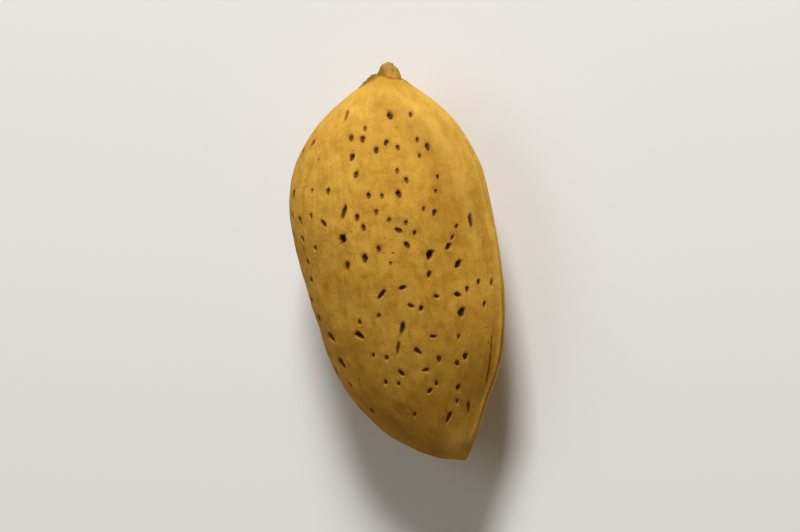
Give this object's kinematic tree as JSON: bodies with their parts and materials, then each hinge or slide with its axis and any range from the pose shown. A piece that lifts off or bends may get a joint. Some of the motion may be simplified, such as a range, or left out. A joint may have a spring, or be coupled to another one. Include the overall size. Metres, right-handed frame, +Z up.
{
  "type": "almond in its shell",
  "caption": "Whole almond in its hard, pitted golden brown shell, lying on a broad face, with a stem scar, a keel along one edge and a pointed tip",
  "frame": {"origin": "under the middle of the nut's box, on the surface that it lies on", "axes": "+X runs from the stem end to the pointed tip, +Y to the keel edge, +Z up out of the broad face that shows"},
  "size_m": [0.036, 0.0184, 0.014],
  "materials": {
    "shell": "dry, matt and slightly powdery, golden ochre, darker brown in the pits, furrows and keel seam, paler on the stem knob and along the keel"
  },
  "bodies": {
    "root": {"almond": "shell"}
  },
  "joints": []
}
